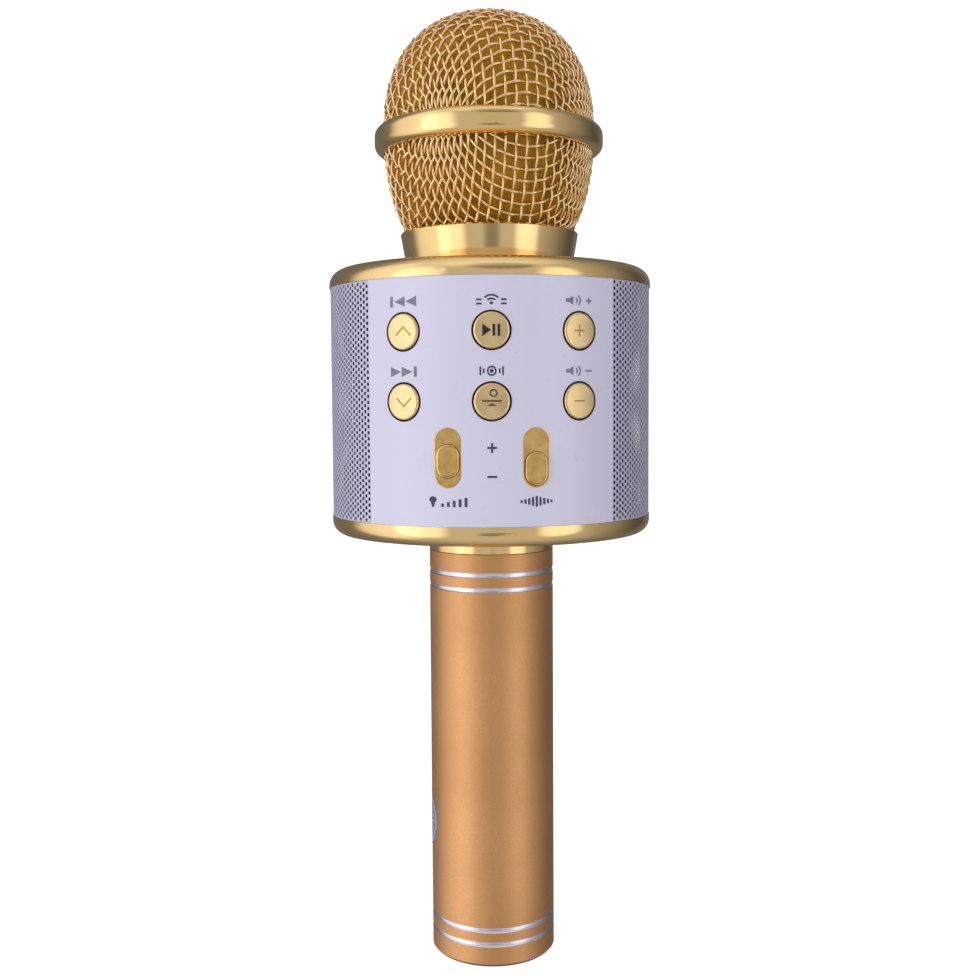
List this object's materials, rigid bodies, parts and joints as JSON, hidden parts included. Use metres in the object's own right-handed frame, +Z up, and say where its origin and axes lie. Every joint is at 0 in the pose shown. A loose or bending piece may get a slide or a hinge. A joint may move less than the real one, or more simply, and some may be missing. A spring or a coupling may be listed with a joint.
{
  "type": "karaoke microphone",
  "caption": "Handheld karaoke microphone: gold wire-mesh head over a round speaker barrel with a white button panel and perforated grille, on a straight metal handle.",
  "frame": {"origin": "centre of the flat bottom of the handle", "axes": "+Z up along the handle's axis, the button panel faces -Y, +X to the right as seen from the front"},
  "size_m": [0.0832, 0.0837, 0.245],
  "materials": {
    "anodised_handle": "satin copper-gold anodised, fine blasted, bright cut grooves",
    "badge_foil": "bright silver foil",
    "gold_plating": "mirror gold plating on plastic",
    "gold_plating_metal": "mirror gold plating on metal",
    "gold_wire": "gold lacquered wire mesh",
    "gold_button": "spun gold plating",
    "gold_knob": "mirror gold plating",
    "gold_tray": "gold plated pressing",
    "white_panel": "gloss white with a cool tint",
    "grille_metal": "silver painted perforated sheet",
    "black_plastic": "moulded black",
    "switch_case": "moulded switch case",
    "clear_plastic": "frosted clear",
    "circuit_board": "solder mask",
    "nickel": "nickel plated",
    "steel_screw": "blackened steel",
    "speaker_steel": "black painted stamped steel",
    "magnet": "ferrite",
    "paper_cone": "coated paper",
    "rubber_black": "soft rubber",
    "foam_black": "closed-cell foam",
    "foam_gold": "open-cell windscreen foam",
    "battery_wrap": "shrink-wrapped cell",
    "capsule_metal": "turned aluminium",
    "lead_grey": "insulated wire",
    "lead_black": "insulated wire",
    "lead_red": "insulated wire"
  },
  "bodies": {
    "body": {"aux_jack": "black_plastic", "badge": "badge_foil", "battery_cell": "battery_wrap", "battery_lead_negative": "lead_black", "battery_lead_positive": "lead_red", "battery_pads": "foam_black", "battery_tabs": "nickel", "board_frame": "black_plastic", "board_screws": "steel_screw", "bottom_cover": "gold_plating", "capsule_cup": "rubber_black", "capsule_lead": "lead_grey", "capsule_mast": "black_plastic", "charge_socket": "nickel", "cover_screws": "steel_screw", "end_cap": "black_plastic", "foam_liner": "foam_gold", "front_panel": "white_panel", "handle_tube": "anodised_handle", "head_collar": "gold_plating", "head_grille_lower": "gold_wire", "head_grille_upper": "gold_wire", "head_ring": "gold_plating_metal", "indicator_pipe": "clear_plastic", "inner_barrel": "black_plastic", "left_slide_pot": "switch_case", "left_slider_tray": "gold_tray", "left_speaker_basket": "speaker_steel", "left_speaker_gasket": "foam_black", "left_speaker_magnet": "magnet", "left_speaker_surround": "rubber_black", "lower_collar": "gold_plating", "main_board": "circuit_board", "mast_screws": "steel_screw", "mic_capsule": "capsule_metal", "neck_tube": "black_plastic", "port_board": "circuit_board", "power_switch": "switch_case", "right_slide_pot": "switch_case", "right_slider_tray": "gold_tray", "right_speaker_basket": "speaker_steel", "right_speaker_gasket": "foam_black", "right_speaker_magnet": "magnet", "right_speaker_surround": "rubber_black", "speaker_grille": "grille_metal", "tact_switches": "switch_case", "top_cover": "gold_plating", "usb_a_socket": "nickel"},
    "next_button": {"next_button": "gold_button"},
    "play_button": {"play_button": "gold_button"},
    "previous_button": {"previous_button": "gold_button"},
    "record_button": {"record_button": "gold_button"},
    "volume_down_button": {"volume_down_button": "gold_button"},
    "volume_up_button": {"volume_up_button": "gold_button"},
    "left_slider": {"left_slider_knob": "gold_knob"},
    "right_slider": {"right_slider_knob": "gold_knob"},
    "power_lever": {"power_lever": "black_plastic"},
    "left_cone": {"left_speaker_cone": "paper_cone"},
    "right_cone": {"right_speaker_cone": "paper_cone"}
  },
  "joints": [
    {"name": "next_press", "type": "slide", "parent": "body", "child": "next_button", "axis": [0, 1, 0], "range_m": [0, 0.0005], "stiffness_N_per_m": 400},
    {"name": "play_press", "type": "slide", "parent": "body", "child": "play_button", "axis": [0, 1, 0], "range_m": [0, 0.0005], "stiffness_N_per_m": 400},
    {"name": "previous_press", "type": "slide", "parent": "body", "child": "previous_button", "axis": [0, 1, 0], "range_m": [0, 0.0005], "stiffness_N_per_m": 400},
    {"name": "record_press", "type": "slide", "parent": "body", "child": "record_button", "axis": [0, 1, 0], "range_m": [0, 0.0005], "stiffness_N_per_m": 400},
    {"name": "volume_down_press", "type": "slide", "parent": "body", "child": "volume_down_button", "axis": [0, 1, 0], "range_m": [0, 0.0005], "stiffness_N_per_m": 400},
    {"name": "volume_up_press", "type": "slide", "parent": "body", "child": "volume_up_button", "axis": [0, 1, 0], "range_m": [0, 0.0005], "stiffness_N_per_m": 400},
    {"name": "left_slider_slide", "type": "slide", "parent": "body", "child": "left_slider", "axis": [0, 0, 1], "range_m": [-0.0018, 0.0034]},
    {"name": "right_slider_slide", "type": "slide", "parent": "body", "child": "right_slider", "axis": [0, 0, 1], "range_m": [0, 0.0052]},
    {"name": "power_lever_slide", "type": "slide", "parent": "body", "child": "power_lever", "axis": [0, 1, 0], "range_m": [0, 0.002]},
    {"name": "left_cone_stroke", "type": "slide", "parent": "body", "child": "left_cone", "axis": [-1, 0, 0], "range_m": [-0.0005, 0.0005], "stiffness_N_per_m": 600},
    {"name": "right_cone_stroke", "type": "slide", "parent": "body", "child": "right_cone", "axis": [1, 0, 0], "range_m": [-0.0005, 0.0005], "stiffness_N_per_m": 600}
  ]
}
